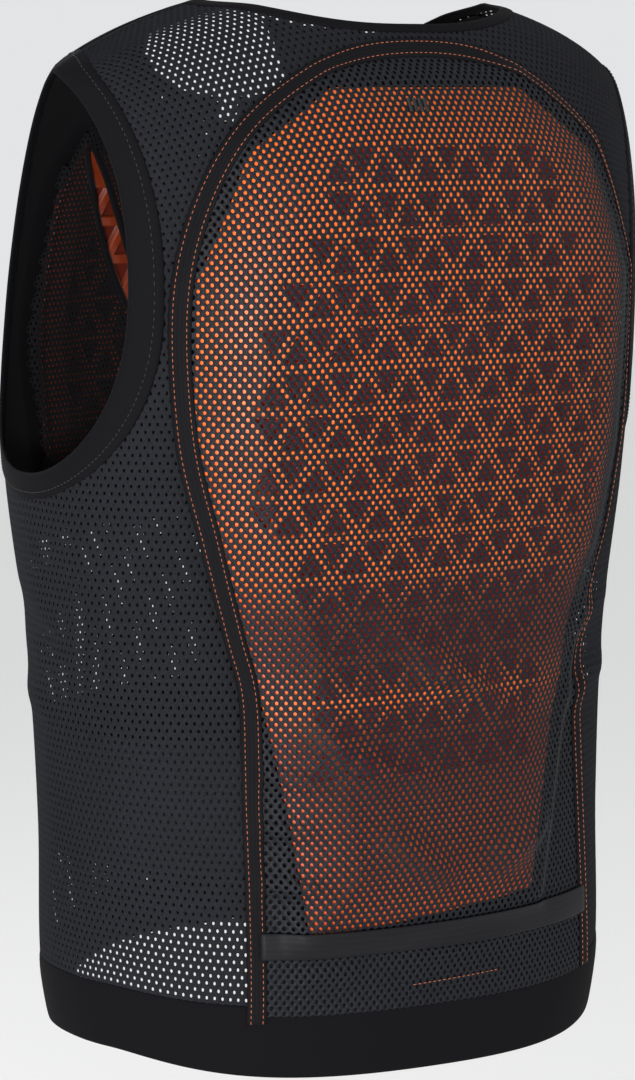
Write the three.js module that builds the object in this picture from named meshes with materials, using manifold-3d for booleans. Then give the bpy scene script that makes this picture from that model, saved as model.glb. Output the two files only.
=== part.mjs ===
import * as THREE from 'three';
import { mergeVertices } from 'three/addons/utils/BufferGeometryUtils.js';
import Module from 'manifold-3d';

const wasm = await Module();
wasm.setup();

// Millimetres. Z is up, the chest faces -Y, the back faces +Y and the wearer's left is +X.
// Heights are counted from the tail of the hem. The finished vest is set with its origin
// between the wearer's shoulders.
const shoulderY = 27;
const shoulderHeight = 572;

// Body of the vest, from the hem (share 0) to the shoulder ridge (share 1).
const bodyTable = [
  { share: 0.00, height: 0, halfWidth: 168, backDepth: 108, frontDepth: 109, centreLift: 0, centreY: 7 },
  { share: 0.07, height: 42, halfWidth: 173, backDepth: 111, frontDepth: 112, centreLift: 0, centreY: 7 },
  { share: 0.20, height: 130, halfWidth: 173, backDepth: 110, frontDepth: 112, centreLift: 0, centreY: 6 },
  { share: 0.34, height: 230, halfWidth: 178, backDepth: 110, frontDepth: 114, centreLift: 0, centreY: 5 },
  { share: 0.48, height: 320, halfWidth: 189, backDepth: 117, frontDepth: 122, centreLift: 0, centreY: 5 },
  { share: 0.60, height: 395, halfWidth: 194, backDepth: 124, frontDepth: 128, centreLift: 5, centreY: 5 },
  { share: 0.72, height: 456, halfWidth: 194, backDepth: 121, frontDepth: 124, centreLift: 15, centreY: 8 },
  { share: 0.82, height: 500, halfWidth: 191, backDepth: 105, frontDepth: 110, centreLift: 28, centreY: 13 },
  { share: 0.90, height: 529, halfWidth: 188, backDepth: 78, frontDepth: 84, centreLift: 40, centreY: 19 },
  { share: 0.96, height: 545, halfWidth: 186, backDepth: 44, frontDepth: 44, centreLift: 47, centreY: 24 },
  { share: 1.00, height: 551, halfWidth: 185, backDepth: 0, frontDepth: 0, centreLift: 49, centreY: 27 },
];
const ringPower = 2.25;       // roundness of the plan section, 2 is an ellipse
const ridgePower = 2.3;       // how the neck and shoulders rise towards the middle
const hemSideRise = 13;       // the hem is higher at the sides than at the tail
const hemFrontRise = 26;      // and higher again at the front
const hemSideTilt = 0.035;    // the worn vest hangs a little lower on one side
const ridgeCrowding = 1.5;    // rows lie closer together near the shoulder ridge
const hemShapeShare = 0.34;   // the hem shaping fades out at this share

const beyond = 2 * shoulderHeight;  // cutting shapes reach this far past the vest

// Cloth
const netThickness = 1.2;
const bandThickness = 2.2;
const pieceGap = 0.3;
const waistbandShare = 0.07;

// Openings
const neckHalfWidth = 96;
const neckAbovePocket = 15;   // from the top of the back pocket to the neck opening
const neckFrontDepth = 104;
const neckCentreY = 12;
const neckBindingWidth = 8;
const neckSlopeShare = 0.45;   // the net is steep in front of and behind the neck
const neckPower = 2.5;        // roundness of the neck opening, 2 is an ellipse
const armholeHalfDepth = 76;
const armholeHalfHeight = 108;
const armholeCentreY = 0;
const armholeDrop = 105;      // from the shoulder ridge down to the middle of the armhole
const armholeCentreHeight = bodyTable[bodyTable.length - 1].height - armholeDrop;
const armholeTilt = 14;       // degrees that the armhole faces upwards
const armholeBindingWidth = 13;
const frontSeamBack = 62;     // the side seam runs this far in front of the middle
const shoulderSeamY = 4;
const seamTurnBelow = 50;     // the seam changes sides inside the armhole, about its middle
const seamTurnAbove = 60;
const zipHalfWidth = 9;
const zipCoilHalfWidth = 3;
const zipCoilHeight = 1.2;

// Back pocket
const archTable = [
  { height: -40, left: 106, right: 126 },
  { height: 0, left: 106, right: 125 },
  { height: 100, left: 106, right: 120 },
  { height: 150, left: 107, right: 116 },
  { height: 215, left: 109, right: 112 },
  { height: 250, left: 117, right: 118 },
  { height: 300, left: 130, right: 130 },
  { height: 360, left: 144, right: 140 },
  { height: 430, left: 148, right: 144 },
  { height: 480, left: 138, right: 128 },
  { height: 520, left: 114, right: 104 },
  { height: 547, left: 76, right: 66 },
  { height: 561, left: 32, right: 26 },
];
const tapeWidth = 10;
const stripBottomShare = 0.112;
const stripTopShare = 0.134;
const stripThickness = 1.2;

// Inner waist belt, seen through the net as a dark band from the pocket round the side
const beltBottomShare = 0.178;
const beltTopShare = 0.283;
const beltThickness = 1.4;

// Back protector
const protectorTable = [
  { height: 88, halfWidth: 73 },
  { height: 150, halfWidth: 84 },
  { height: 190, halfWidth: 92 },
  { height: 240, halfWidth: 104 },
  { height: 300, halfWidth: 126 },
  { height: 345, halfWidth: 136 },
  { height: 440, halfWidth: 137 },
  { height: 508, halfWidth: 109 },
  { height: 541, halfWidth: 60 },
];
const protectorCentreX = 5;
const protectorTailTilt = 10;
const protectorSeat = 2.2;
const protectorEdge = 3.5;
const protectorCrown = 10;
const protectorFlank = 30;
const protectorFlatness = 5;  // thicker towards the sides, so that its field is nearly flat
const cellPitch = 26.6;
const cellHeight = 23;
const cellTop = 512;
const cellRows = 15;
const pocketShare = 0.66;
const pocketFloorShare = 0.58;
const pocketDepthShare = 0.55;
const cellRowHalfWidths = [76, 72, 84, 98, 105, 105, 105, 105, 105, 90, 80, 76, 72, 70, 66];
// The lower part is thinner and bends, with one full row of ribs across it.
const lumbarTable = [
  { height: 88, part: 0.8 },
  { height: 150, part: 0.7 },
  { height: 167, part: 0.55 },
  { height: 190, part: 0.5 },
  { height: 213, part: 1 },
  { height: 236, part: 0.45 },
  { height: 259, part: 0.5 },
  { height: 282, part: 0.95 },
  { height: 305, part: 1 },
];

// Chest pads
const chestOutline = [
  [50, 494], [104, 512], [121, 482], [134, 400], [130, 334], [110, 312], [66, 318], [46, 362], [44, 450],
];
const chestThickness = 7;
const chestEdge = 4;
const plateClearance = 2;     // between a plate and the cloth over it
const chestFlank = 14;
const chestPocketMargin = 11;
const slitStart = [106, 512];
const slitEnd = [50, 396];
const slitHalfWidth = 6;

function readTable(table, key, column, at) {
  const last = table.length - 1;
  if (at <= table[0][key]) return table[0][column];
  if (at >= table[last][key]) return table[last][column];
  let i = 0;
  while (table[i + 1][key] < at) i += 1;
  const slope = (j) => {
    const a = table[Math.max(j - 1, 0)];
    const b = table[Math.min(j + 1, last)];
    return (b[column] - a[column]) / (b[key] - a[key]);
  };
  const span = table[i + 1][key] - table[i][key];
  const t = (at - table[i][key]) / span;
  const s = t * t * (3 - 2 * t);
  const start = (t * t * t - 2 * t * t + t) * span * slope(i);
  const end = (t * t * t - t * t) * span * slope(i + 1);
  return table[i][column] * (1 - s) + table[i + 1][column] * s + start + end;
}

function readStraight(table, key, column, at) {
  let i = 0;
  while (i < table.length - 2 && table[i + 1][key] < at) i += 1;
  const t = (at - table[i][key]) / (table[i + 1][key] - table[i][key]);
  return THREE.MathUtils.lerp(table[i][column], table[i + 1][column], THREE.MathUtils.clamp(t, 0, 1));
}

const signedPower = (value, power) => Math.sign(value) * Math.abs(value) ** power;

// Point of the body's inner surface: turn 0 is the wearer's left side, 90 degrees the back.
function bodyPoint(turn, share) {
  const read = (column) => readTable(bodyTable, 'share', column, share);
  const across = signedPower(Math.cos(turn), 2 / ringPower);
  const along = signedPower(Math.sin(turn), 2 / ringPower);
  const x = read('halfWidth') * across;
  const y = read('centreY') + (along >= 0 ? read('backDepth') : read('frontDepth')) * along;
  const low = Math.max(1 - share / hemShapeShare, 0) ** 1.5;
  const hemRise = hemSideRise * THREE.MathUtils.smoothstep(118 - y, 0, 80)
    + hemFrontRise * THREE.MathUtils.smoothstep(-45 - y, 0, 60);
  const rise = read('height') + read('centreLift') * (1 - Math.abs(across) ** ridgePower);
  return new THREE.Vector3(x, y, rise + low * (hemSideTilt * x + hemRise));
}

function bodyNormal(turn, share) {
  if (share > 0.9999) return new THREE.Vector3(0, 0, 1);
  const step = 1e-3;
  const top = Math.min(share + step, 0.9999);
  const round = bodyPoint(turn + step, share).sub(bodyPoint(turn - step, share));
  const up = bodyPoint(turn, top).sub(bodyPoint(turn, Math.max(share - step, 0)));
  return round.cross(up).normalize();
}

const raised = (turn, share, offset) =>
  bodyPoint(turn, share).addScaledVector(bodyNormal(turn, share), offset);

// Point at a given x and height, on the back or on the front, raised by an offset.
function placeAt(x, z, offset, side) {
  let low = 0.02;
  let high = 0.999;
  let turn = Math.PI / 2;
  for (let step = 0; step < 36; step += 1) {
    const share = (low + high) / 2;
    const ratio = THREE.MathUtils.clamp(x / readTable(bodyTable, 'share', 'halfWidth', share), -1, 1);
    turn = side * Math.acos(signedPower(ratio, ringPower / 2));
    if (bodyPoint(turn, share).z < z) low = share;
    else high = share;
  }
  return raised(turn, (low + high) / 2, offset);
}

const pocketTop = archTable[archTable.length - 1].height;
const neckBackDepth = placeAt(0, pocketTop + neckAbovePocket, 0, 1).y - neckCentreY;

function solid(triangles) {
  const geometry = new THREE.BufferGeometry();
  const flat = triangles.flatMap((corner) => [corner.x, corner.y, corner.z]);
  geometry.setAttribute('position', new THREE.Float32BufferAttribute(flat, 3));
  return geometry;
}

function toManifold(source) {
  const bare = new THREE.BufferGeometry();
  bare.setAttribute('position', source.getAttribute('position').clone());
  if (source.index) bare.setIndex(source.index.clone());
  const merged = mergeVertices(bare, 1e-3);
  const index = Array.from(merged.index.array);
  const kept = [];
  for (let i = 0; i < index.length; i += 3) {
    const [a, b, c] = [index[i], index[i + 1], index[i + 2]];
    if (a !== b && b !== c && c !== a) kept.push(a, b, c);
  }
  return new wasm.Manifold(new wasm.Mesh({
    numProp: 3,
    vertProperties: new Float32Array(merged.getAttribute('position').array),
    triVerts: new Uint32Array(kept),
  }));
}

function fromManifold(body) {
  const mesh = body.getMesh();
  const geometry = new THREE.BufferGeometry();
  const positions = [];
  for (let i = 0; i < mesh.vertProperties.length; i += mesh.numProp) {
    positions.push(mesh.vertProperties[i], mesh.vertProperties[i + 1], mesh.vertProperties[i + 2]);
  }
  geometry.setAttribute('position', new THREE.Float32BufferAttribute(positions, 3));
  geometry.setIndex(Array.from(mesh.triVerts));
  return geometry;
}

// A sheet of cloth between two offsets from the body, closed all round its edges.
function sheet({ turns, shares, around, up, inner, outer }) {
  const ring = Math.abs(turns[1] - turns[0]) > 2 * Math.PI - 1e-6;
  const closedTop = shares[1] >= 1;
  const layer = (offset) => {
    const rows = [];
    for (let j = 0; j <= up; j += 1) {
      const step = closedTop ? 1 - (1 - j / up) ** ridgeCrowding : j / up;
      const share = THREE.MathUtils.lerp(shares[0], shares[1], step);
      const row = [];
      for (let i = 0; i <= around; i += 1) {
        const turn = THREE.MathUtils.lerp(turns[0], turns[1], i / around);
        const base = bodyPoint(turn, share);
        row.push(base.clone().addScaledVector(bodyNormal(turn, share), offset(base.x, base.z)));
      }
      rows.push(row);
    }
    return rows;
  };
  const low = layer(inner);
  const high = layer(outer);
  const faces = [];
  const quad = (a, b, c, d) => faces.push(a, b, c, a, c, d);
  for (let j = 0; j < up; j += 1) {
    for (let i = 0; i < around; i += 1) {
      quad(high[j][i], high[j][i + 1], high[j + 1][i + 1], high[j + 1][i]);
      quad(low[j][i], low[j + 1][i], low[j + 1][i + 1], low[j][i + 1]);
    }
    if (!ring) {
      quad(low[j][0], high[j][0], high[j + 1][0], low[j + 1][0]);
      quad(low[j][around], low[j + 1][around], high[j + 1][around], high[j][around]);
    }
  }
  for (let i = 0; i < around; i += 1) {
    quad(low[0][i], low[0][i + 1], high[0][i + 1], high[0][i]);
    if (!closedTop) quad(low[up][i], high[up][i], high[up][i + 1], low[up][i + 1]);
  }
  return toManifold(solid(faces));
}

// A straight prism over a flat outline, set on two axes in space.
function prism(points, origin, axisX, axisY, depth) {
  const shape = new THREE.Shape(points.map(([a, b]) => new THREE.Vector2(a, b)));
  const geometry = new THREE.ExtrudeGeometry(shape, { depth, bevelEnabled: false, steps: 1 });
  const matrix = new THREE.Matrix4().makeBasis(axisX, axisY, axisX.clone().cross(axisY));
  geometry.applyMatrix4(matrix.setPosition(origin));
  return toManifold(geometry);
}

const axisX = new THREE.Vector3(1, 0, 0);
const axisY = new THREE.Vector3(0, 1, 0);
const axisZ = new THREE.Vector3(0, 0, 1);
const backPrism = (points) => prism(points, new THREE.Vector3(0, beyond, 0), axisX, axisZ, beyond - 10);
const frontPrism = (points) => prism(points, new THREE.Vector3(0, 0, 0), axisX, axisZ, beyond);

function mirrored(body) {
  const geometry = fromManifold(body);
  geometry.scale(-1, 1, 1);
  const index = geometry.index.array;
  for (let i = 0; i < index.length; i += 3) {
    [index[i + 1], index[i + 2]] = [index[i + 2], index[i + 1]];
  }
  return toManifold(geometry);
}

// Outlines
function offsetLine(points, distance) {
  return points.map((point, i) => {
    const before = points[Math.max(i - 1, 0)];
    const after = points[Math.min(i + 1, points.length - 1)];
    const run = new THREE.Vector2(after[0] - before[0], after[1] - before[1]).normalize();
    return [point[0] - run.y * distance, point[1] + run.x * distance];
  });
}

function archLine() {
  const left = archTable.map((row) => new THREE.Vector2(row.left, row.height));
  const right = archTable.map((row) => new THREE.Vector2(-row.right, row.height)).reverse();
  const curve = new THREE.SplineCurve([...left, ...right]);
  return curve.getSpacedPoints(44).map((point) => [point.x, point.y]);
}
const arch = archLine();

function neckOutline(extra) {
  const points = [];
  for (let i = 0; i < 32; i += 1) {
    const turn = (i / 32) * 2 * Math.PI;
    const depth = Math.sin(turn) > 0 ? neckBackDepth : neckFrontDepth;
    points.push([
      (neckHalfWidth + extra) * signedPower(Math.cos(turn), 2 / neckPower),
      neckCentreY + (depth + extra * neckSlopeShare) * signedPower(Math.sin(turn), 2 / neckPower),
    ]);
  }
  return points;
}
const neckCutter = (extra) =>
  prism(neckOutline(extra), new THREE.Vector3(0, 0, 440), axisX, axisY, 300);

function armholeCutter(extra) {
  const tilt = THREE.MathUtils.degToRad(armholeTilt);
  const up = new THREE.Vector3(-Math.sin(tilt), 0, Math.cos(tilt));
  const out = new THREE.Vector3(Math.cos(tilt), 0, Math.sin(tilt));
  const shoulder = new THREE.Vector3(bodyTable[7].halfWidth, armholeCentreY, armholeCentreHeight);
  const origin = shoulder.addScaledVector(out, -100);
  const points = [];
  for (let i = 0; i < 22; i += 1) {
    const turn = (i / 22) * 2 * Math.PI;
    points.push([
      (armholeHalfDepth + extra) * signedPower(Math.cos(turn), 0.91),
      (armholeHalfHeight + extra) * signedPower(Math.sin(turn), 0.91),
    ]);
  }
  return prism(points, origin, axisY, up, 240);
}

function protectorOutline() {
  const left = protectorTable.map((row) => [row.halfWidth, row.height]);
  left[0][1] -= protectorTailTilt / 2;
  const right = protectorTable.map((row) => [-row.halfWidth, row.height]).reverse();
  right[right.length - 1][1] += protectorTailTilt / 2;
  return [...left, ...right].map(([x, z]) => [x + protectorCentreX, z]);
}

function distanceInside(outline, x, z) {
  let nearest = Infinity;
  let inside = false;
  outline.forEach(([ax, az], i) => {
    const [bx, bz] = outline[(i + 1) % outline.length];
    const length = (bx - ax) ** 2 + (bz - az) ** 2;
    const t = THREE.MathUtils.clamp(((x - ax) * (bx - ax) + (z - az) * (bz - az)) / length, 0, 1);
    nearest = Math.min(nearest, Math.hypot(x - ax - t * (bx - ax), z - az - t * (bz - az)));
    if ((az > z) !== (bz > z) && x < ax + ((z - az) / (bz - az)) * (bx - ax)) inside = !inside;
  });
  return inside ? nearest : -nearest;
}

// Cloth that rises from the body on to a plate below it.
function drape(outline, seat, edge, crown, flank, x, z) {
  const inside = distanceInside(outline, x, z);
  const clearance = plateClearance;
  if (inside < 0) {
    const low = netThickness + 2 * pieceGap;
    const high = seat + edge + clearance;
    return THREE.MathUtils.lerp(low, high, THREE.MathUtils.smoothstep(inside, -17, -3));
  }
  return seat + edge + clearance + (crown - edge) * Math.min(inside / flank, 1);
}

const backOutline = protectorOutline();
const backDrape = (x, z) => {
  const crown = protectorCrown + protectorFlatness * ((x - protectorCentreX) / 100) ** 2;
  return drape(backOutline, protectorSeat, protectorEdge, crown, protectorFlank, x, z);
};
const chestDrape = (x, z) =>
  drape(chestOutline, protectorSeat, chestEdge, chestThickness, chestFlank, Math.abs(x), z);

// Triangulates the band between two outlines and swaps diagonals for shorter ones.
function bandTriangles(contour, hole) {
  const points = [...contour, ...hole];
  const turn = (a, b, c) => (points[b].x - points[a].x) * (points[c].y - points[a].y)
    - (points[b].y - points[a].y) * (points[c].x - points[a].x);
  const list = THREE.ShapeUtils.triangulateShape(contour, [hole])
    .map(([a, b, c]) => (turn(a, b, c) < 0 ? [a, c, b] : [a, b, c]));
  const swapOne = () => {
    const owners = new Map();
    list.forEach((corners, k) => corners.forEach((a, i) => {
      owners.set(`${a}|${corners[(i + 1) % 3]}`, [k, a, corners[(i + 1) % 3], corners[(i + 2) % 3]]);
    }));
    for (const [first, a, b, c] of owners.values()) {
      const across = owners.get(`${b}|${a}`);
      if (!across) continue;
      const d = across[3];
      const shorter = points[c].distanceTo(points[d]) < points[a].distanceTo(points[b]) - 1e-6;
      if (!shorter || turn(a, d, c) < 1 || turn(d, b, c) < 1) continue;
      list[first] = [a, d, c];
      list[across[0]] = [d, b, c];
      return true;
    }
    return false;
  };
  let swaps = 0;
  while (swaps < 600 && swapOne()) swaps += 1;
  return list;
}

// A moulded plate: a lattice of triangles, some of them sunk as pockets, and a plain border.
function plate({ outline, levels, columns, place, height, isPocket, onBack }) {
  const spacedOutline = outline.flatMap(([ax, az], i) => {
    const [bx, bz] = outline[(i + 1) % outline.length];
    const count = Math.max(Math.round(Math.hypot(bx - ax, bz - az) / 22), 1);
    return Array.from({ length: count }, (_, k) => [
      THREE.MathUtils.lerp(ax, bx, k / count),
      THREE.MathUtils.lerp(az, bz, k / count),
    ]);
  });
  const rows = levels.map((level, k) => columns(k).map(([x]) => {
    const inside = distanceInside(outline, x, level.z) > 5;
    return { x, z: level.z, inside, key: `${k}:${x}` };
  }));
  const cells = [];
  for (let k = 0; k < rows.length - 1; k += 1) {
    const above = rows[k];
    const below = rows[k + 1];
    const shift = (k + 1) % 2;
    const count = Math.min(above.length, below.length);
    for (let i = 0; i < count; i += 1) {
      const first = shift ? [above[i], below[i], below[i + 1]] : [below[i], above[i + 1], above[i]];
      const second = shift ? [above[i], below[i + 1], above[i + 1]] : [below[i], below[i + 1], above[i + 1]];
      for (const corners of [first, second]) {
        if (!corners.every((corner) => corner && corner.inside)) continue;
        cells.push({ corners: onBack ? corners.reverse() : corners, row: k });
      }
    }
  }
  const top = (node) => place(node.x, node.z, height(node.x, node.z));
  const bottom = (node) => place(node.x, node.z, protectorSeat);
  const faces = [];
  const edges = new Map();
  for (const { corners, row } of cells) {
    const low = corners.map(bottom);
    faces.push(low[0], low[2], low[1]);
    const high = corners.map(top);
    corners.forEach((corner, i) => {
      const next = corners[(i + 1) % 3];
      const back = `${next.key}|${corner.key}`;
      if (edges.has(back)) edges.delete(back);
      else edges.set(`${corner.key}|${next.key}`, [corner, next]);
    });
    if (!isPocket(corners, row)) {
      faces.push(...high);
      continue;
    }
    const centre = high[0].clone().add(high[1]).add(high[2]).divideScalar(3);
    const down = high[1].clone().sub(high[0]).cross(high[2].clone().sub(high[0])).normalize();
    const depth = pocketDepthShare * Math.min(...high.map((point, i) => point.distanceTo(low[i])));
    const rim = high.map((corner) => centre.clone().lerp(corner, pocketShare));
    const floor = high.map((corner) =>
      centre.clone().lerp(corner, pocketFloorShare).addScaledVector(down, -depth));
    for (let i = 0; i < 3; i += 1) {
      const j = (i + 1) % 3;
      faces.push(high[i], high[j], rim[j], high[i], rim[j], rim[i]);
      faces.push(rim[i], rim[j], floor[j], rim[i], floor[j], floor[i]);
    }
    faces.push(floor[0], floor[1], floor[2]);
  }
  const follow = new Map([...edges.values()].map(([start, end]) => [start.key, [start, end]]));
  const loop = [];
  let [node, next] = follow.values().next().value;
  for (let i = 0; i < follow.size; i += 1) {
    loop.push(node);
    [node, next] = follow.get(next.key);
  }
  const ring = spacedOutline.map(([x, z]) => ({ x, z }));
  const nodes = [...ring, ...loop];
  const contour = ring.map((point) => new THREE.Vector2(point.x, point.z));
  const hole = loop.map((point) => new THREE.Vector2(point.x, point.z));
  for (const triangle of bandTriangles(contour, hole)) {
    let [a, b, c] = triangle.map((i) => nodes[i]);
    const turned = (b.x - a.x) * (c.z - a.z) - (b.z - a.z) * (c.x - a.x);
    const [p, q, r] = cells[0].corners;
    const wanted = (q.x - p.x) * (r.z - p.z) - (q.z - p.z) * (r.x - p.x);
    if (turned * wanted < 0) [b, c] = [c, b];
    faces.push(top(a), top(b), top(c), bottom(a), bottom(c), bottom(b));
  }
  const clockwise = THREE.ShapeUtils.isClockWise(contour);
  const [p, q, r] = cells[0].corners;
  const latticeTurn = (q.x - p.x) * (r.z - p.z) - (q.z - p.z) * (r.x - p.x) < 0;
  const walk = clockwise === latticeTurn ? ring : [...ring].reverse();
  walk.forEach((start, i) => {
    const end = walk[(i + 1) % walk.length];
    faces.push(bottom(start), bottom(end), top(end), bottom(start), top(end), top(start));
  });
  return toManifold(solid(faces));
}

const always = (value) => () => value;
const fullTurn = [-Math.PI, Math.PI];
const halfBox = (min, max) => {
  const size = new THREE.Vector3().subVectors(max, min);
  const box = new THREE.BoxGeometry(size.x, size.y, size.z);
  box.translate((min.x + max.x) / 2, (min.y + max.y) / 2, (min.z + max.z) / 2);
  return toManifold(box);
};
const zipSlot = (halfWidth) =>
  halfBox(new THREE.Vector3(-halfWidth, -beyond, -beyond), new THREE.Vector3(halfWidth, 0, beyond));

function cloth(thickness) {
  return sheet({
    turns: fullTurn, shares: [waistbandShare, 1], around: 32, up: 14,
    inner: always(0), outer: always(thickness),
  });
}

function buildParts() {
  const parts = {};
  const seamOutline = (gap) => [
    [-frontSeamBack + gap, -beyond],
    [-frontSeamBack + gap, armholeCentreHeight - seamTurnBelow],
    [shoulderSeamY + gap, armholeCentreHeight + seamTurnAbove],
    [shoulderSeamY + gap, beyond],
    [beyond, beyond],
    [beyond, -beyond],
  ];
  const backSide = (gap) =>
    prism(seamOutline(gap), new THREE.Vector3(-beyond, 0, 0), axisY, axisZ, 2 * beyond);
  const armLeft = armholeCutter(armholeBindingWidth + pieceGap);
  const armRight = mirrored(armLeft);
  const neck = neckCutter(neckBindingWidth + pieceGap);
  const net = cloth(netThickness).subtract(armLeft).subtract(armRight).subtract(neck);

  parts.body_mesh = net.intersect(backSide(pieceGap / 2)).subtract(backPrism(offsetLine(arch, -pieceGap)));
  const fronts = net.subtract(backSide(-pieceGap / 2)).subtract(zipSlot(zipHalfWidth + pieceGap));
  const leftHalf = halfBox(
    new THREE.Vector3(0, -beyond, -beyond), new THREE.Vector3(beyond, beyond, beyond),
  );
  parts.front_mesh_left = fronts.intersect(leftHalf);
  parts.front_mesh_right = fronts.subtract(leftHalf);

  const backSheet = (inner, outer, shares, around, up) =>
    sheet({ turns: [0.2, Math.PI - 0.2], shares, around, up, inner, outer });
  const pocketShares = [waistbandShare, 0.97];
  parts.back_pocket_lining = backSheet(always(0), always(netThickness - 0.2), pocketShares, 18, 12)
    .intersect(backPrism(offsetLine(arch, pieceGap)));
  const draped = (rise) => (x, z) => backDrape(x, z) + rise;
  parts.back_pocket_panel = backSheet(draped(0), draped(netThickness), pocketShares, 24, 22)
    .intersect(backPrism(offsetLine(arch, tapeWidth / 2 + pieceGap)));
  parts.seam_tape = backSheet(draped(0), draped(netThickness), pocketShares, 18, 14)
    .intersect(backPrism(offsetLine(arch, -tapeWidth / 2)))
    .subtract(backPrism(offsetLine(arch, tapeWidth / 2)));
  parts.elastic_strip = backSheet(
    draped(netThickness + 2 * pieceGap), draped(netThickness + 2 * pieceGap + stripThickness),
    [stripBottomShare, stripTopShare], 24, 1,
  ).intersect(backPrism(offsetLine(arch, tapeWidth / 2 + 2 * pieceGap)));

  const arcToX = (arc) => arc * (1 - 3.5e-6 * arc * arc);
  const levels = [{ z: (cellTop + protectorTable[protectorTable.length - 1].height) / 2 + 2 }];
  for (let k = 0; k <= cellRows; k += 1) levels.push({ z: cellTop - k * cellHeight });
  const level = levels[levels.length - 1].z;
  const tailStep = (level - protectorTable[0].height - 15) / 3;
  levels.push({ z: level - tailStep }, { z: level - 2 * tailStep }, { z: level - 3 * tailStep });
  const backPlace = (x, z, offset) => placeAt(x, z, offset, 1);
  const backColumns = (k) => Array.from({ length: 15 }, (_, i) =>
    [arcToX((i - 7 + (k % 2 ? -0.5 : 0)) * cellPitch) + protectorCentreX]);
  parts.back_protector = plate({
    outline: backOutline,
    levels,
    columns: backColumns,
    place: backPlace,
    onBack: true,
    height: (x, z) => THREE.MathUtils.lerp(
      protectorSeat, backDrape(x, z) - plateClearance, readStraight(lumbarTable, 'height', 'part', z),
    ),
    isPocket: (corners, row) => {
      const x = (corners[0].x + corners[1].x + corners[2].x) / 3 - protectorCentreX;
      return row > 0 && row <= cellRows && Math.abs(x) < cellRowHalfWidths[row - 1];
    },
  });

  const band = sheet({
    turns: fullTurn, shares: [0, waistbandShare - pieceGap / 600], around: 32, up: 1,
    inner: always(-0.3), outer: always(bandThickness - 0.3),
  });
  parts.waistband = band.subtract(zipSlot(zipHalfWidth + pieceGap));

  const belt = sheet({
    turns: fullTurn, shares: [beltBottomShare, beltTopShare], around: 32, up: 2,
    inner: always(-pieceGap - beltThickness), outer: always(-pieceGap),
  }).subtract(zipSlot(zipHalfWidth + pieceGap)).subtract(backPrism(offsetLine(arch, -pieceGap)));
  parts.waist_belt_left = belt.intersect(leftHalf);
  parts.waist_belt_right = belt.subtract(leftHalf);

  const thick = sheet({
    turns: fullTurn, shares: [0.4, 1], around: 32, up: 9,
    inner: always(-0.4), outer: always(bandThickness - 0.4),
  });
  parts.neck_binding = thick.intersect(neckCutter(neckBindingWidth)).subtract(neckCutter(0))
    .subtract(zipSlot(zipHalfWidth + pieceGap));
  parts.armhole_binding_left = thick.intersect(armholeCutter(armholeBindingWidth))
    .subtract(armholeCutter(0));
  parts.armhole_binding_right = mirrored(parts.armhole_binding_left);

  const frontStrip = (inner, outer) => sheet({
    turns: [-Math.PI / 2 - 0.2, -Math.PI / 2 + 0.2], shares: [0, 0.95], around: 2, up: 12,
    inner: always(inner), outer: always(outer),
  });
  parts.front_zip = frontStrip(-0.4, bandThickness - 0.4).intersect(zipSlot(zipHalfWidth))
    .add(frontStrip(bandThickness - 1, bandThickness - 0.4 + zipCoilHeight)
      .intersect(zipSlot(zipCoilHalfWidth)))
    .subtract(neckCutter(0));

  const chestPlace = (x, z, offset) => placeAt(x, z, -offset, -1);
  const chestLevels = Array.from({ length: 9 }, (_, k) => ({ z: 490 - k * cellHeight }));
  parts.chest_pad_left = plate({
    outline: chestOutline,
    levels: chestLevels,
    columns: (k) => Array.from({ length: 5 }, (_, i) => [(i + (k % 2 ? 1.5 : 2)) * cellPitch]),
    place: chestPlace,
    onBack: true,
    height: (x, z) => chestDrape(x, z) - plateClearance,
    isPocket: () => true,
  });
  parts.chest_pad_right = mirrored(parts.chest_pad_left);
  const chestSheet = sheet({
    turns: [-Math.PI / 2, -0.15], shares: [0.4, 0.93], around: 14, up: 14,
    inner: (x, z) => -chestDrape(x, z) - netThickness, outer: (x, z) => -chestDrape(x, z),
  });
  const run = new THREE.Vector2(slitEnd[0] - slitStart[0], slitEnd[1] - slitStart[1]);
  const side = new THREE.Vector2(-run.y, run.x).normalize();
  const leaf = Array.from({ length: 16 }, (_, i) => {
    const t = i < 8 ? i / 8 : (16 - i) / 8;
    const wide = slitHalfWidth * Math.sin(Math.PI * t) * (i < 8 ? 1 : -1);
    return [slitStart[0] + run.x * t + side.x * wide, slitStart[1] + run.y * t + side.y * wide];
  });
  const centreX = 90;
  const centreZ = 405;
  const pocketOutline = chestOutline.map(([x, z]) => {
    const away = new THREE.Vector2(x - centreX, z - centreZ);
    away.setLength(away.length() + chestPocketMargin);
    return [centreX + away.x, centreZ + away.y];
  });
  parts.chest_pocket_left = chestSheet.intersect(frontPrism(pocketOutline)).subtract(frontPrism(leaf));
  parts.chest_pocket_right = mirrored(parts.chest_pocket_left);
  return parts;
}

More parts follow.
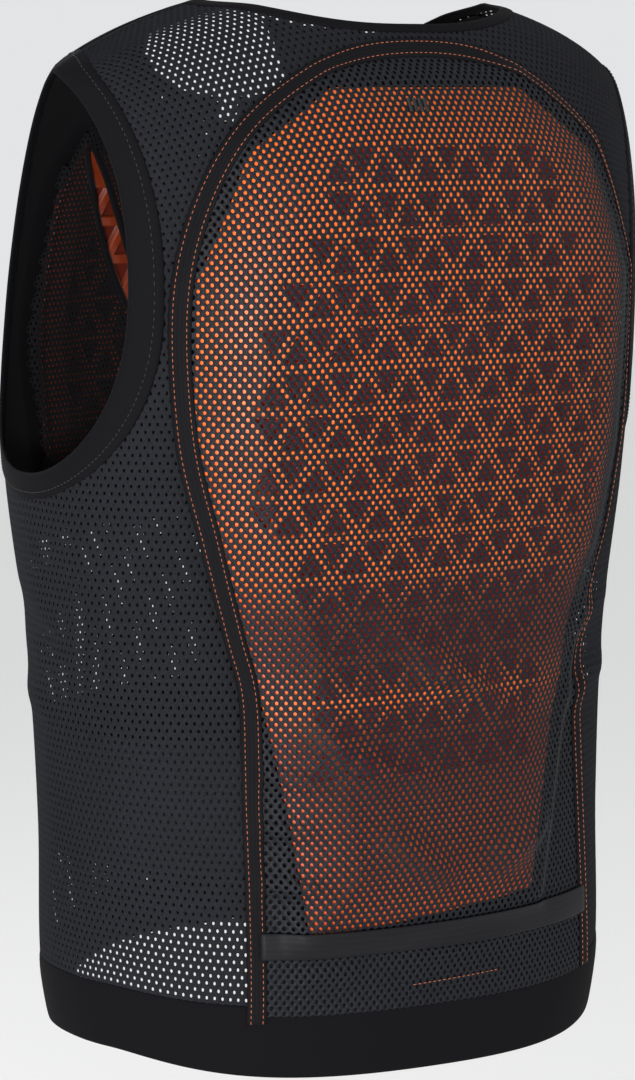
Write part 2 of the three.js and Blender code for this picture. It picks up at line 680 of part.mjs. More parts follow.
const looks = {
  body_mesh: { color: 0x24262b, roughness: 0.85 },
  front_mesh_left: { color: 0x24262b, roughness: 0.85 },
  front_mesh_right: { color: 0x24262b, roughness: 0.85 },
  back_pocket_lining: { color: 0x1c1d21, roughness: 0.9 },
  back_pocket_panel: { color: 0x3a3d43, roughness: 0.8 },
  back_protector: { color: 0xe0561e, roughness: 0.55 },
  seam_tape: { color: 0x202126, roughness: 0.7 },
  elastic_strip: { color: 0x232428, roughness: 0.55 },
  waistband: { color: 0x1c1b20, roughness: 0.8 },
  waist_belt_left: { color: 0x1e1f24, roughness: 0.8 },
  waist_belt_right: { color: 0x1e1f24, roughness: 0.8 },
  neck_binding: { color: 0x1e1f24, roughness: 0.75 },
  armhole_binding_left: { color: 0x1e1f24, roughness: 0.75 },
  armhole_binding_right: { color: 0x1e1f24, roughness: 0.75 },
  front_zip: { color: 0x17171a, roughness: 0.6 },
  chest_pad_left: { color: 0xd9541f, roughness: 0.55 },
  chest_pad_right: { color: 0xd9541f, roughness: 0.55 },
  chest_pocket_left: { color: 0x1a1b1f, roughness: 0.9 },
  chest_pocket_right: { color: 0x1a1b1f, roughness: 0.9 },
};

const vest = new THREE.Group();
vest.name = 'motorcycle_armour_vest';
const parts = buildParts();
for (const [name, body] of Object.entries(parts)) {
  const material = new THREE.MeshStandardMaterial({ metalness: 0, ...looks[name] });
  const geometry = fromManifold(body).translate(0, -shoulderY, -shoulderHeight);
  const mesh = new THREE.Mesh(geometry, material);
  mesh.name = name;
  vest.add(mesh);
}

export default vest;
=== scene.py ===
import math

import bmesh
import bpy
import numpy as np
from mathutils import Matrix, Vector


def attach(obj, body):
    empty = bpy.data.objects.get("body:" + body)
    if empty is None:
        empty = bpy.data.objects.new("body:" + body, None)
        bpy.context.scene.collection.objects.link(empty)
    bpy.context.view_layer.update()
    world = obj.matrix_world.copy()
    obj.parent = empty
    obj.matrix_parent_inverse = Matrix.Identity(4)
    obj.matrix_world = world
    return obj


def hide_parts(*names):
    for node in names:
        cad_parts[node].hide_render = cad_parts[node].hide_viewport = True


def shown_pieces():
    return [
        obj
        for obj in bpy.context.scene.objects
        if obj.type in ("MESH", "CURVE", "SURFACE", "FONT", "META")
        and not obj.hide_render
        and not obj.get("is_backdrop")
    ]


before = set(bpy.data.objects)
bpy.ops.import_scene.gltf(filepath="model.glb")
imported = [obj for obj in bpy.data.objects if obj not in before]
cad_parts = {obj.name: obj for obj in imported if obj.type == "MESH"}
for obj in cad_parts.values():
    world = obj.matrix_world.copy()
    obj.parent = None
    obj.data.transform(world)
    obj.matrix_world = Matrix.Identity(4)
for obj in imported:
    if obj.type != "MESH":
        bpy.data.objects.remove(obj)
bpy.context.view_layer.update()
print("frame loaded")

# All shaping is done in millimetres, heights counted from the tail of the hem.
originShift = np.array([0.0, 27.0, 572.0])

body = {
    "ringPower": 2.25,  # 2 is an ellipse
    "ridgePower": 2.3,
    "hemSideRise": 13,
    "hemFrontRise": 26,
    "hemSideTilt": 0.035,
    "hemShapeShare": 0.34,
    # share, height, half width, back depth, front depth, lift in the middle, middle's y
    "rows": [
        (0.00, 0, 168, 108, 109, 0, 7),
        (0.07, 42, 173, 111, 112, 0, 7),
        (0.20, 130, 173, 110, 112, 0, 6),
        (0.34, 230, 178, 110, 114, 0, 5),
        (0.48, 320, 189, 117, 122, 0, 5),
        (0.60, 395, 194, 124, 128, 5, 5),
        (0.72, 456, 194, 121, 124, 15, 8),
        (0.82, 500, 191, 105, 110, 28, 13),
        (0.90, 529, 188, 78, 84, 40, 19),
        (0.96, 545, 186, 44, 44, 47, 24),
        (1.00, 551, 185, 0, 0, 49, 27),
    ],
}
bodyRows = np.array(body["rows"], float)


# A smooth curve through one column of the rows
def readRows(column, share):
    at, value = bodyRows[:, 0], bodyRows[:, column]
    slope = np.empty_like(value)
    slope[1:-1] = (value[2:] - value[:-2]) / (at[2:] - at[:-2])
    slope[0] = (value[1] - value[0]) / (at[1] - at[0])
    slope[-1] = (value[-1] - value[-2]) / (at[-1] - at[-2])
    share = np.clip(share, 0, 1)
    i = np.clip(np.searchsorted(at, share, side="right") - 1, 0, len(at) - 2)
    span = at[i + 1] - at[i]
    t = (share - at[i]) / span
    s = t * t * (3 - 2 * t)
    start = (t**3 - 2 * t**2 + t) * span * slope[i]
    end = (t**3 - t**2) * span * slope[i + 1]
    return value[i] * (1 - s) + value[i + 1] * s + start + end


def smoothStep(low, high, value):
    t = np.clip((value - low) / (high - low), 0, 1)
    return t * t * (3 - 2 * t)


def signedPower(value, power):
    return np.sign(value) * np.abs(value) ** power


def heightAt(across, share, y):
    low = np.clip(1 - share / body["hemShapeShare"], 0, None) ** 1.5
    x = readRows(2, share) * across
    rise = body["hemSideRise"] * smoothStep(0, 80, 118 - y)
    rise = rise + body["hemFrontRise"] * smoothStep(0, 60, -45 - y)
    lift = readRows(5, share) * (1 - np.abs(across) ** body["ridgePower"])
    return readRows(1, share) + lift + low * (body["hemSideTilt"] * x + rise)


# Turn 0 is the wearer's left side, a quarter turn the back.
def bodyPoint(turn, share):
    across = signedPower(np.cos(turn), 2 / body["ringPower"])
    along = signedPower(np.sin(turn), 2 / body["ringPower"])
    depth = np.where(along >= 0, readRows(3, share), readRows(4, share))
    y = readRows(6, share) + depth * along
    return np.stack([readRows(2, share) * across, y, heightAt(across, share, y)], -1)


def bodyNormal(turn, share):
    step = 1e-3
    share = np.minimum(share, 0.9985)
    top = np.minimum(share + step, 0.9995)
    around = bodyPoint(turn + step, share) - bodyPoint(turn - step, share)
    up = bodyPoint(turn, top) - bodyPoint(turn, np.maximum(share - step, 0))
    normal = np.cross(around, up)
    return normal / np.linalg.norm(normal, axis=-1, keepdims=True)


def solveShare(tooHigh, count, low=0.001, high=0.9995):
    low = np.full(count, low)
    high = np.full(count, high)
    for _ in range(34):
        middle = (low + high) / 2
        over = tooHigh(middle)
        high = np.where(over, middle, high)
        low = np.where(over, low, middle)
    return (low + high) / 2


def turnOf(across, side):
    across = np.clip(across, -1, 1)
    return side * np.arccos(signedPower(across, body["ringPower"] / 2))


# Places on the body, found from the back or front, from above, or from the side.
def fromBack(x, z, side=1):
    def tooHigh(share):
        across = x / readRows(2, share)
        return bodyPoint(turnOf(across, side), share)[:, 2] > z

    share = solveShare(tooHigh, len(x))
    return turnOf(x / readRows(2, share), side), share


def fromTop(x, y):
    def level(share):
        depth = np.where(y > readRows(6, share), readRows(3, share), readRows(4, share))
        part = np.abs((y - readRows(6, share)) / np.maximum(depth, 0.01))
        return np.abs(x / readRows(2, share)) ** body["ringPower"] + part ** body["ringPower"]

    share = solveShare(lambda share: level(share) > 1, len(x), low=0.6)
    side = np.where(y > readRows(6, share), 1, -1)
    return turnOf(x / readRows(2, share), side), share


armhole = {
    "halfDepth": 76,
    "halfHeight": 108,
    "middleY": 0,
    "middleHeight": 446,
    "middleX": 191,
    "tilt": 14,  # degrees that it faces upwards
    "cornerPower": 2.2,
}
tilt = math.radians(armhole["tilt"])


def armholeLevel(x, y, z, extra):
    rise = (z - armhole["middleHeight"]) * math.cos(tilt)
    rise = rise - (np.abs(x) - armhole["middleX"]) * math.sin(tilt)
    power = armhole["cornerPower"]
    depth = np.abs((y - armhole["middleY"]) / (armhole["halfDepth"] + extra))
    height = np.abs(rise / (armhole["halfHeight"] + extra))
    return np.where(np.abs(x) > 95, depth**power + height**power, 9.0)


def fromSide(y, rise):
    def across(share):
        depth = np.where(y > readRows(6, share), readRows(3, share), readRows(4, share))
        part = np.abs((y - readRows(6, share)) / np.maximum(depth, 0.01))
        left = np.clip(1 - part ** body["ringPower"], 0, None)
        return left ** (1 / body["ringPower"])

    def tooHigh(share):
        x = readRows(2, share) * across(share)
        z = heightAt(across(share), share, y)
        level = (z - armhole["middleHeight"]) * math.cos(tilt)
        return level - (x - armhole["middleX"]) * math.sin(tilt) > rise

    share = solveShare(tooHigh, len(y))
    side = np.where(y > readRows(6, share), 1, -1)
    return turnOf(across(share), side), share


# Distance from an outline, positive inside it
def distanceInside(outline, x, z):
    start = np.array(outline, float)
    end = np.roll(start, -1, 0)
    run = end - start
    px, pz = x[:, None] - start[:, 0], z[:, None] - start[:, 1]
    t = np.clip((px * run[:, 0] + pz * run[:, 1]) / (run**2).sum(1), 0, 1)
    nearest = np.hypot(px - t * run[:, 0], pz - t * run[:, 1]).min(1)
    straddles = (start[:, 1] > z[:, None]) != (end[:, 1] > z[:, None])
    flat = np.where(np.abs(run[:, 1]) < 1e-9, 1e-9, run[:, 1])
    left = px < pz / flat * run[:, 0]
    inside = (straddles & left).sum(1) % 2 == 1
    return np.where(inside, nearest, -nearest)


backPad = {
    "centreX": 5,
    "tailTilt": 10,
    "seat": 2.2,
    "edge": 3.5,
    "crown": 10,
    "flank": 30,
    "flatness": 5,  # thicker towards the sides, so that its field is nearly flat
    "clearance": 2,
    # height, share of the full thickness
    "lumbar": [
        (88, 0.8), (150, 0.7), (167, 0.55), (190, 0.5), (213, 1.0),
        (236, 0.45), (259, 0.5), (282, 0.95), (305, 1.0),
    ],
    # height, half width
    "rows": [
        (88, 73), (150, 84), (190, 92), (240, 104), (300, 126),
        (345, 136), (440, 137), (508, 109), (541, 60),
    ],
}


def backPadOutline():
    left = [[half, height] for height, half in backPad["rows"]]
    right = [[-half, height] for height, half in reversed(backPad["rows"])]
    left[0][1] -= backPad["tailTilt"] / 2
    right[-1][1] += backPad["tailTilt"] / 2
    return [(x + backPad["centreX"], z) for x, z in left + right]


# Folds of the worn cloth: start, end, half width and height of each ridge or dent.
folds = [
    ((44, 129, 258), (-52, 125, 188), 9, 6.2),
    ((88, 115, 206), (34, 128, 160), 9, 5.8),
    ((44, 128, 140), (-8, 129, 104), 9, 6.2),
    ((-26, 127, 108), (-84, 114, 140), 10, 6.6),
    ((60, 126, 186), (0, 130, 158), 7, 4.4),
    ((30, 129, 226), (-30, 128, 216), 6, 3.4),
    ((-84, 113, 240), (-158, 68, 252), 9, 3.6),
    ((-90, 110, 196), (-160, 62, 212), 9, 3.6),
    ((-60, 122, 300), (-120, 100, 286), 8, 2.0),
    ((112, 100, 178), (72, 118, 168), 6, 4.2),
    ((112, 100, 146), (76, 117, 142), 5, 3.8),
    ((110, 100, 116), (70, 118, 110), 6, 4.4),
    ((24, 120, 64), (-58, 116, 68), 6, 2.4),
    ((90, 112, 60), (44, 119, 62), 6, 2.0),
    ((176, 40, 336), (166, 46, 216), 15, 2.6),
    ((178, 10, 300), (146, 80, 270), 10, 2.4),
    ((174, -52, 262), (172, 22, 232), 11, -3.0),
    ((172, -50, 214), (170, 12, 196), 9, 2.2),
    ((-174, -30, 256), (-166, 50, 238), 11, -2.8),
]


def foldRise(points):
    rise = np.zeros(len(points))
    for start, end, width, height in folds:
        start, run = np.array(start, float), np.subtract(end, start).astype(float)
        t = (points - start) @ run / (run @ run)
        # off the line across the back, or across the side, not in the depth of the cloth
        across = (1, 0.15, 1) if abs(start[0]) < 115 else (0.5, 1, 1)
        off = np.linalg.norm((points - start - t[:, None] * run) * across, axis=1)
        ends = smoothStep(-0.1, 0.35, t) * smoothStep(-0.1, 0.35, 1 - t)
        rise += height * np.exp(-((off / width) ** 2)) * ends
    return rise


chestPad = {
    "outline": [
        (50, 494), (104, 512), (121, 482), (134, 400), (130, 334),
        (110, 312), (66, 318), (46, 362), (44, 450),
    ],
    "edge": 4,
    "crown": 7,
    "flank": 14,
    "middle": (90, 405),
    "pocketMargin": 11,
    "slitStart": (106, 512),
    "slitEnd": (50, 396),
    "slitHalfWidth": 6,
}
backOutline = backPadOutline()
netRest = 1.8  # the outer cloth lies this far from the body where nothing is under it


# Cloth over a pad: on the body outside it, up its edge, crowned over its middle
def drape(outline, edge, crown, flank, x, z):
    inside = distanceInside(outline, x, z)
    high = backPad["seat"] + edge + backPad["clearance"]
    outer = netRest + (high - netRest) * smoothStep(-17, -3, inside)
    return outer + (crown - edge) * np.clip(inside / flank, 0, 1)


def backDrape(points):
    pad = backPad
    crown = pad["crown"] + pad["flatness"] * ((points[:, 0] - pad["centreX"]) / 100) ** 2
    plain = drape(backOutline, pad["edge"], crown, pad["flank"], points[:, 0], points[:, 2])
    return plain + foldRise(points)


def chestDrape(points):
    pad = chestPad
    return -drape(pad["outline"], pad["edge"], pad["crown"], pad["flank"],
                  np.abs(points[:, 0]), points[:, 2])


arch = {
    # height, left, right
    "rows": [
        (-40, 106, 126), (0, 106, 125), (100, 106, 120), (150, 107, 116),
        (215, 109, 112), (250, 117, 118), (300, 130, 130), (360, 144, 140),
        (430, 148, 144), (480, 138, 128), (520, 114, 104), (547, 76, 66), (561, 32, 26),
    ],
}


def smoothLine(points, count):
    points = np.array(points, float)
    padded = np.vstack([2 * points[0] - points[1], points, 2 * points[-1] - points[-2]])
    fine = []
    for i in range(1, len(padded) - 2):
        a, b, c, d = padded[i - 1 : i + 3]
        t = np.linspace(0, 1, 24, endpoint=False)[:, None]
        fine.append(0.5 * (2 * b + (c - a) * t + (2 * a - 5 * b + 4 * c - d) * t**2
                           + (3 * b - a - 3 * c + d) * t**3))
    fine = np.vstack([*fine, padded[-2][None]])
    run = np.concatenate([[0], np.cumsum(np.linalg.norm(np.diff(fine, axis=0), axis=1))])
    at = np.linspace(0, run[-1], count)
    return np.stack([np.interp(at, run, fine[:, k]) for k in range(fine.shape[1])], -1)


archLeft = [(left, height) for height, left, right in arch["rows"]]
archRight = [(-right, height) for height, left, right in reversed(arch["rows"])]
archLine = smoothLine(archLeft + archRight, 240)


# Meshes are worked in millimetres until they are placed.
def placed(points):
    return (points - originShift) * 0.001


def setPoints(mesh, points):
    mesh.vertices.foreach_set("co", np.ascontiguousarray(points, np.float32).ravel())
    mesh.update()


def getPoints(mesh):
    points = np.empty(len(mesh.vertices) * 3, np.float32)
    mesh.vertices.foreach_get("co", points)
    return points.reshape(-1, 3).astype(float)


def addObject(name, mesh):
    thing = bpy.data.objects.new(name, mesh)
    bpy.context.scene.collection.objects.link(thing)
    return thing


def smoothFaces(mesh):
    mesh.polygons.foreach_set("use_smooth", np.ones(len(mesh.polygons), bool))


def finishPiece(thing, slot, material, *nodes):
    thing.data.materials.clear()
    thing.data.materials.append(material)
    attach(thing, "root")
    if nodes:
        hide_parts(*nodes)
    return thing


# Colours are written as sRGB and turned to linear here.
def fromHex(code):
    parts = [int(code[i : i + 2], 16) / 255 for i in (0, 2, 4)]
    return [p / 12.92 if p <= 0.04045 else ((p + 0.055) / 1.055) ** 2.4 for p in parts] + [1]


def addNode(tree, kind, settings=None, inputs=None, links=None):
    node = tree.nodes.new(kind)
    for key, value in (settings or {}).items():
        setattr(node, key, value)
    for key, value in (inputs or {}).items():
        node.inputs[key].default_value = value
    for key, source in (links or {}).items():
        tree.links.new(source, node.inputs[key])
    return node


def newMaterial(name, colour, roughness, **shader):
    material = bpy.data.materials.new(name)
    material.use_nodes = True
    tree = material.node_tree
    principled = tree.nodes["Principled BSDF"]
    principled.inputs["Base Color"].default_value = fromHex(colour)
    principled.inputs["Roughness"].default_value = roughness
    for key, value in shader.items():
        principled.inputs[key.replace("_", " ")].default_value = value
    return material, tree, principled


# Warp-knitted polyester: matt filaments, a slightly lighter fuzz on their crests
def knittedPolyester(name, dark, light, loopSize, contrast=1.4, roughness=0.82, shine=0.12):
    material, tree, principled = newMaterial(name, dark, roughness, Specular_IOR_Level=shine)
    place = addNode(tree, "ShaderNodeTexCoord").outputs["Object"]
    # loops of about loopSize mm along a thread
    loops = addNode(tree, "ShaderNodeTexNoise",
                    inputs={"Scale": 1000 / loopSize, "Detail": 2.0, "Roughness": 0.6},
                    links={"Vector": place})
    wear = addNode(tree, "ShaderNodeTexNoise", inputs={"Scale": 14.0, "Detail": 3.0},
                   links={"Vector": place})
    mixed = addNode(tree, "ShaderNodeMath", {"operation": "MULTIPLY_ADD"},
                    {1: contrast, 2: 0.33 - contrast / 2}, {0: loops.outputs["Fac"]})
    spread = addNode(tree, "ShaderNodeMath", {"operation": "MULTIPLY_ADD"}, {1: 0.35},
                     {0: wear.outputs["Fac"], 2: mixed.outputs[0]})
    colour = addNode(tree, "ShaderNodeMix", {"data_type": "RGBA"},
                     links={"Factor": spread.outputs[0]})
    colour.inputs[6].default_value = fromHex(dark)
    colour.inputs[7].default_value = fromHex(light)
    tree.links.new(colour.outputs[2], principled.inputs["Base Color"])
    bump = addNode(tree, "ShaderNodeBump", inputs={"Strength": 0.5, "Distance": 0.0003},
                   links={"Height": loops.outputs["Fac"]})
    tree.links.new(bump.outputs["Normal"], principled.inputs["Normal"])
    return material


# Moulded nitrile foam: satin skin, with painted shade: deeper red on the sunk pocket floors and
# over the low back
def mouldedFoam(name, colours):
    material, tree, principled = newMaterial(name, colours["rib"], 0.5)
    place = addNode(tree, "ShaderNodeTexCoord").outputs["Object"]
    paintedShade = addNode(tree, "ShaderNodeAttribute", {"attribute_name": "paintedShade"}).outputs["Fac"]
    # pores of the skin, drawn 1.5 mm wide so that they show
    skin = addNode(tree, "ShaderNodeTexNoise", inputs={"Scale": 1000 / 1.5, "Detail": 3.0},
                   links={"Vector": place})
    broad = addNode(tree, "ShaderNodeTexNoise", inputs={"Scale": 18.0, "Detail": 2.0},
                    links={"Vector": place})
    tone = addNode(tree, "ShaderNodeMix", {"data_type": "RGBA"},
                   links={"Factor": broad.outputs["Fac"]})
    tone.inputs[6].default_value = fromHex(colours["rib"])
    tone.inputs[7].default_value = fromHex(colours["flank"])
    # painted shade: the floor colour turns the skin deep red on the sunk pocket floors and the low
    # back
    colour = addNode(tree, "ShaderNodeMix", {"data_type": "RGBA"}, links={"Factor": paintedShade})
    tree.links.new(tone.outputs[2], colour.inputs[6])
    colour.inputs[7].default_value = fromHex(colours["floor"])
    tree.links.new(colour.outputs[2], principled.inputs["Base Color"])
    bump = addNode(tree, "ShaderNodeBump", inputs={"Strength": 0.25, "Distance": 0.0004},
                   links={"Height": skin.outputs["Fac"]})
    tree.links.new(bump.outputs["Normal"], principled.inputs["Normal"])
    return material


# Woven elastic: smooth, fine ribs that follow the piece's own length (its UV map)
def wovenElastic(name, dark, light, ribSize, roughness, alongBand, shine=0.12):
    material, tree, principled = newMaterial(name, dark, roughness, Specular_IOR_Level=shine)
    place = addNode(tree, "ShaderNodeUVMap", {"uv_map": "weave"}).outputs["UV"]
    # the UV map counts millimetres, so the scale is ribs per millimetre
    ribs = addNode(tree, "ShaderNodeTexWave",
                   {"bands_direction": "Y" if alongBand else "X"},
                   {"Scale": 0.314 / ribSize, "Distortion": 0.6, "Detail": 1.0,
                    "Detail Scale": 2.0}, {"Vector": place})
    grain = addNode(tree, "ShaderNodeTexNoise", inputs={"Scale": 1.4, "Detail": 3.0},
                    links={"Vector": place})
    both = addNode(tree, "ShaderNodeMath", {"operation": "MULTIPLY_ADD"}, {1: 0.45},
                   {0: ribs.outputs["Fac"], 2: grain.outputs["Fac"]})
    colour = addNode(tree, "ShaderNodeMix", {"data_type": "RGBA"},
                     links={"Factor": both.outputs[0]})
    colour.inputs[6].default_value = fromHex(dark)
    colour.inputs[7].default_value = fromHex(light)
    tree.links.new(colour.outputs[2], principled.inputs["Base Color"])
    bump = addNode(tree, "ShaderNodeBump", inputs={"Strength": 0.35, "Distance": 0.0003},
                   links={"Height": both.outputs[0]})
    tree.links.new(bump.outputs["Normal"], principled.inputs["Normal"])
    return material


# Spun polyester sewing thread: satin, twisted
def sewingThread(name, dark, light):
    material, tree, principled = newMaterial(name, dark, 0.55)
    place = addNode(tree, "ShaderNodeTexCoord").outputs["Object"]
    # about one turn of the plies to a millimetre
    twist = addNode(tree, "ShaderNodeTexNoise", inputs={"Scale": 900.0, "Detail": 2.0},
                    links={"Vector": place})
    colour = addNode(tree, "ShaderNodeMix", {"data_type": "RGBA"},
                     links={"Factor": twist.outputs["Fac"]})
    colour.inputs[6].default_value = fromHex(dark)
    colour.inputs[7].default_value = fromHex(light)
    tree.links.new(colour.outputs[2], principled.inputs["Base Color"])
    return material


bodyNetFinish = knittedPolyester("blackKnittedNet", "0a0a0d", "1c1d22", 1.1)
pocketNetFinish = knittedPolyester("greySpacerNet", "07080a", "1c1d23", 0.9, 2.4, 0.55, 0.13)
liningFinish = knittedPolyester("darkLiningNet", "060608", "0d0d10", 1.1)
# the floor colours are painted shade, for the sunk pocket floors and the low back
foamFinish = mouldedFoam("orangeNitrileFoam",
                         {"rib": "ff7c2e", "flank": "ff6820", "floor": "96160a"})
# painted shade: the chest pads lie in the shade inside the vest, so their copy of the foam is
# painted darker all over
shadedFoamFinish = mouldedFoam("shadedOrangeNitrileFoam",
                              {"rib": "7a2a0a", "flank": "6c2408", "floor": "4a1205"})
tapeFinish = wovenElastic("blackWovenTape", "08080a", "101013", 0.9, 0.75, True, 0.06)
bandFinish = wovenElastic("blackBrushedElastic", "070608", "0d0c0f", 0.8, 0.85, False, 0.06)
stripFinish = wovenElastic("blackRibbedElastic", "08080b", "101014", 1.3, 0.55, True, 0.14)
bindingFinish = wovenElastic("blackStretchBinding", "060608", "0d0c0f", 0.7, 0.78, False, 0.06)
orangeThread = sewingThread("orangeThread", "7e3a1e", "a85c36")
blackThread = sewingThread("blackThread", "08080a", "18181b")
print("materials made")


# One net is an array of pairs of six-sided cells with a hole each, laid flat and then
# wrapped on the body. Its z is the relief of the threads: high crests, low hole rims.
def flatNet(name, pitch, rowStep, holeWide, holeTall, relief, columns, rows):
    bm = bmesh.new()
    for centre in ((0.0, 0.0), (pitch / 2, rowStep)):
        corners = bmesh.ops.create_circle(bm, cap_ends=True, segments=6, radius=1.0)["verts"]
        bmesh.ops.rotate(bm, verts=corners, matrix=Matrix.Rotation(math.pi / 6, 3, "Z"))
        if abs(max(v.co.y for v in corners) - 1) > 1e-3:  # point the cells up and down
            bmesh.ops.rotate(bm, verts=corners, matrix=Matrix.Rotation(math.pi / 6, 3, "Z"))
        face = corners[0].link_faces[0]
        bmesh.ops.inset_individual(bm, faces=[face], thickness=0.3)
        hole = list(face.verts)
        reach = max(v.co.y for v in hole)
        bmesh.ops.scale(bm, verts=corners,
                        vec=(pitch / 2 / math.cos(math.pi / 6), rowStep * 2 / 3, 1))
        wide = holeWide / 2 / (reach * math.cos(math.pi / 6))
        bmesh.ops.scale(bm, verts=hole, vec=(wide, holeTall / 2 / reach, 1))
        bmesh.ops.translate(bm, verts=hole, vec=(0, 0, -relief))
        bmesh.ops.delete(bm, geom=[face], context="FACES_ONLY")
        bmesh.ops.translate(bm, verts=corners + hole, vec=(*centre, 0))
    bmesh.ops.remove_doubles(bm, verts=bm.verts, dist=pitch * 0.02)
    mesh = bpy.data.meshes.new(name)
    bm.to_mesh(mesh)
    bm.free()
    unit = addObject(name + "Unit", mesh)
    for count, offset in ((columns, (pitch, 0, 0)), (rows // 2, (0, 2 * rowStep, 0))):
        repeat = unit.modifiers.new("repeat", "ARRAY")
        repeat.count = count
        repeat.use_relative_offset = False
        repeat.use_constant_offset = True
        repeat.constant_offset_displace = offset
        repeat.use_merge_vertices = True
        repeat.merge_threshold = pitch * 0.02
    net = bpy.data.meshes.new_from_object(
        unit.evaluated_get(bpy.context.evaluated_depsgraph_get()))
    bpy.data.objects.remove(unit)
    bpy.data.meshes.remove(mesh)
    net.name = name
    return net


# For each height, which turn lies how many millimetres along the cloth from its middle.
def clothTable(turns, shares, middle):
    rows, columns, reach = 80, 700, 420
    fine = np.linspace(*turns, columns)
    around, up = np.meshgrid(fine, np.linspace(*shares, rows))
    points = bodyPoint(around.ravel(), up.ravel()).reshape(rows, columns, 3)
    run = np.zeros((rows, columns))
    run[:, 1:] = np.cumsum(np.linalg.norm(np.diff(points, axis=1), axis=2), axis=1)
    at = np.linspace(-reach, reach, 2 * reach + 1)
    table = np.empty((rows, len(at)))
    for row in range(rows):
        centred = run[row] - np.interp(middle, fine, run[row])
        table[row] = np.interp(at, centred, fine, left=np.nan, right=np.nan)
    return table, reach


def readCloth(table, reach, along, part):
    column = np.clip(along + reach, 0, 2 * reach - 0.001)
    row = np.clip(part * (len(table) - 1), 0, len(table) - 1.001)
    i, j = row.astype(int), column.astype(int)
    a, b = row - i, column - j
    low = table[i, j] * (1 - b) + table[i, j + 1] * b
    high = table[i + 1, j] * (1 - b) + table[i + 1, j + 1] * b
    return low * (1 - a) + high * a


def riseTable(shares, turn):
    fine = np.linspace(*shares, 800)
    points = bodyPoint(np.full(800, turn), fine)
    run = np.concatenate([[0], np.cumsum(np.linalg.norm(np.diff(points, axis=0), axis=1))])
    return fine, run


def wrapNet(name, look, turns, shares, offset, keep, reach):
    middle = math.copysign(math.pi / 2, sum(turns))
    fineShare, runShare = riseTable(shares, middle)
    columns = int((reach[1] - reach[0]) / look["pitch"]) + 1
    # the middles of the last row of cells lie on the top edge, such as the shoulder ridge
    rows = round(runShare[-1] / look["rowStep"] / 2) * 2
    rowStep = float(runShare[-1]) / (rows - 1)
    mesh = flatNet(name, look["pitch"], rowStep, look["holeWide"], look["holeTall"],
                   look["relief"], columns, rows)
    flat = getPoints(mesh)
    share = np.interp(flat[:, 1], runShare, fineShare)
    part = (share - shares[0]) / (shares[1] - shares[0])
    turn = readCloth(*clothTable(turns, shares, middle), flat[:, 0] + reach[0], part)
    lost = np.isnan(turn)
    turn = np.where(lost, middle, turn)
    base = bodyPoint(turn, share)
    normal = bodyNormal(turn, share)
    lift = offset(base) + flat[:, 2] * look.get("side", 1)
    setPoints(mesh, base + normal * lift[:, None])
    # whole cells are kept or dropped, by the middle of each
    loops = np.empty(len(mesh.loops), np.int32)
    mesh.loops.foreach_get("vertex_index", loops)
    middles = base[loops].reshape(-1, 24, 3).mean(1)
    level = share[loops].reshape(-1, 24).mean(1)
    kept = keep(middles[:, 0], middles[:, 1], middles[:, 2], level)
    kept &= ~lost[loops].reshape(-1, 24).any(1)
    bm = bmesh.new()
    bm.from_mesh(mesh)
    bm.faces.ensure_lookup_table()
    dropped = [bm.faces[cell * 6 + k] for cell in np.nonzero(~kept)[0] for k in range(6)]
    bmesh.ops.delete(bm, geom=dropped, context="FACES")
    bmesh.ops.dissolve_degenerate(bm, edges=bm.edges, dist=0.01)
    if look.get("side", 1) < 0:
        bmesh.ops.reverse_faces(bm, faces=bm.faces)
    bm.to_mesh(mesh)
    bm.free()
    setPoints(mesh, placed(getPoints(mesh)))
    smoothFaces(mesh)
    print(name, "cells", int(kept.sum()), "of", len(kept))
    return addObject(name, mesh)


neck = {"halfWidth": 96, "frontDepth": 104, "middleY": 12, "slopeShare": 0.45, "power": 2.5}
neckBack = bodyPoint(*fromBack(np.zeros(1), np.full(1, arch["rows"][-1][0] + 15.0)))
neck["backDepth"] = float(neckBack[0, 1]) - neck["middleY"]


def neckLevel(x, y, z, extra):
    depth = np.where(y > neck["middleY"], neck["backDepth"], neck["frontDepth"])
    level = np.abs(x / (neck["halfWidth"] + extra)) ** neck["power"]
    part = np.abs((y - neck["middleY"]) / (depth + extra * neck["slopeShare"]))
    level = level + part ** neck["power"]
    return np.where(z > 440, level, 9.0)


archOutline = [tuple(point) for point in archLine[::3]]
bandShare = 0.07
seams = {"sideY": -62, "shoulderY": 4, "lowHeight": 396, "highHeight": 506}


def seamDistance(y, z):
    t = smoothStep(seams["lowHeight"], seams["highHeight"], z)
    return y - (seams["sideY"] + (seams["shoulderY"] - seams["sideY"]) * t)


def clearOfHoles(x, y, z):
    return (armholeLevel(x, y, z, 4) > 1) & (neckLevel(x, y, z, 3) > 1)


def keepBody(x, y, z, share):
    outside = (distanceInside(archOutline, x, z) < 1.5) | (y < 10)
    return clearOfHoles(x, y, z) & outside & (share > bandShare - 0.006) & (seamDistance(y, z) > 0)


bodyNet = {"pitch": 4.3, "rowStep": 4.3, "holeWide": 1.2, "holeTall": 2.2, "relief": 0.9}
bodyPiece = wrapNet("bodyNet", bodyNet, (-1.25, math.pi + 1.25), (0.055, 0.9999),
                    lambda base: 1.0 + foldRise(base), keepBody, (-314, 314))
finishPiece(bodyPiece, "black_net", bodyNetFinish, "body_mesh")


def keepFront(sign):
    return lambda x, y, z, share: (
        clearOfHoles(x, y, z) & (share > bandShare - 0.006) & (x * sign > 5)
        & (seamDistance(y, z) < 0) & (y < 10))


